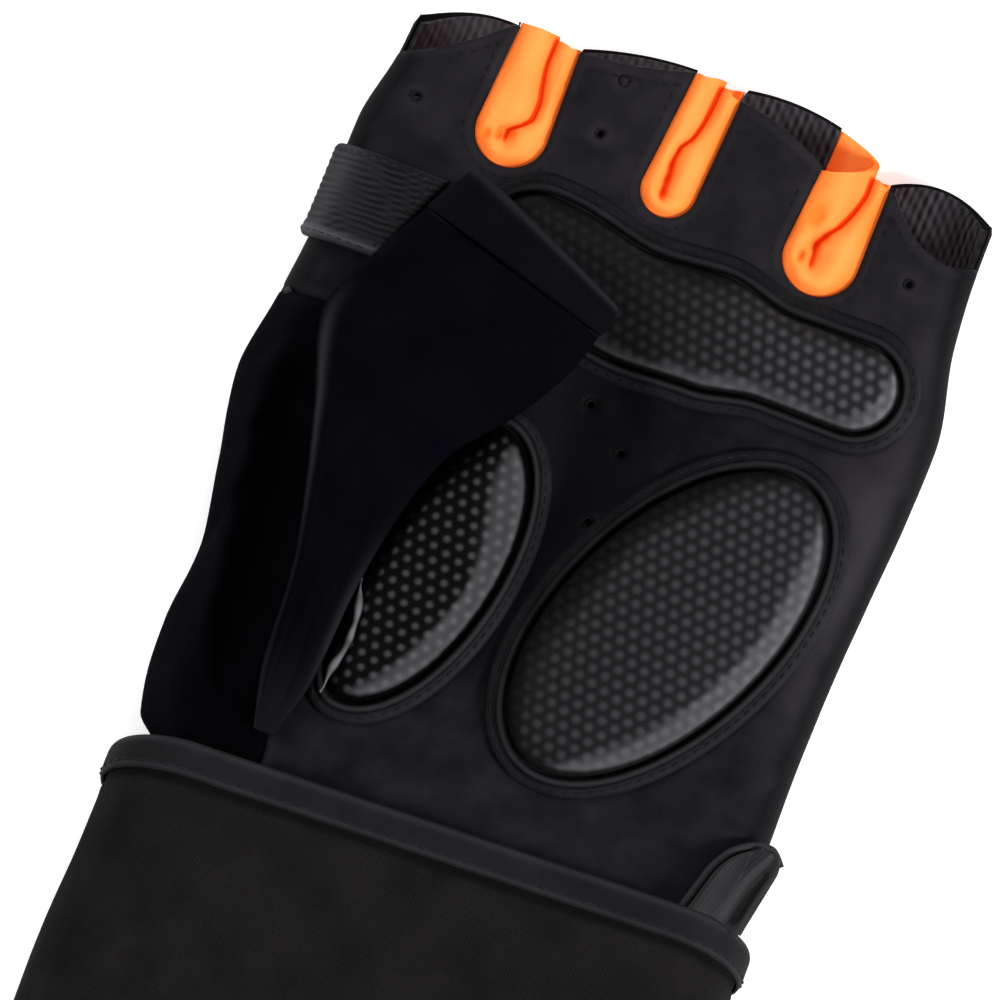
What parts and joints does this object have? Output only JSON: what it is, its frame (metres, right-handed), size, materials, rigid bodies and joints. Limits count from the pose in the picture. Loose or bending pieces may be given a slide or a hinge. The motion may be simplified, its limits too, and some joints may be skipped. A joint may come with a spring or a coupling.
{
  "type": "weightlifting glove",
  "caption": "Half-finger lifting glove for the left hand, palm up, with crowned grip pads, orange finger strips, a folded thumb sleeve and a wide elastic wrist wrap.",
  "frame": {"origin": "flat underside of the back of the hand, under the middle of the palm, where the glove rests", "axes": "+X to the little finger's side, +Y to the fingertips, +Z out of the palm"},
  "size_m": [0.1151, 0.2187, 0.0377],
  "materials": {
    "palm_cloth": "black brushed microfibre palm cloth",
    "back_cloth": "black stretch knit",
    "gusset_cloth": "deep black stretch knit",
    "ribbed_knit": "black ribbed rubberised knit",
    "orange_cloth": "bright orange stretch knit",
    "sleeve_cloth": "black neoprene-backed stretch cloth",
    "pad_leather": "black synthetic leather embossed with hexagonal dots, semi-gloss",
    "welt_cloth": "black synthetic leather pressed to a ridge",
    "mesh_knit": "charcoal mesh knit",
    "wrap_elastic": "black woven elastic",
    "binding_tape": "black folded binding tape",
    "hook_tape": "black hook tape",
    "loop_tape": "dark grey shiny webbing"
  },
  "bodies": {
    "root": {"palm_panel": "palm_cloth", "back_panel": "back_cloth", "side_gusset": "gusset_cloth", "index_patch": "ribbed_knit", "fourchette_index_middle": "orange_cloth", "fourchette_middle_ring": "orange_cloth", "fourchette_ring_little": "orange_cloth", "thumb_sleeve": "sleeve_cloth", "thumb_hem": "sleeve_cloth", "bar_pad": "pad_leather", "thumb_pad": "pad_leather", "heel_pad": "pad_leather", "bar_welt": "welt_cloth", "thumb_welt": "welt_cloth", "heel_welt": "welt_cloth", "index_facing": "mesh_knit", "middle_facing": "mesh_knit", "ring_facing": "mesh_knit", "little_facing": "mesh_knit", "wrist_wrap": "wrap_elastic", "wrap_binding_top": "binding_tape", "wrap_binding_bottom": "binding_tape", "closure_tab": "hook_tape", "pull_loop": "loop_tape", "loop_piping": "binding_tape"}
  },
  "joints": []
}
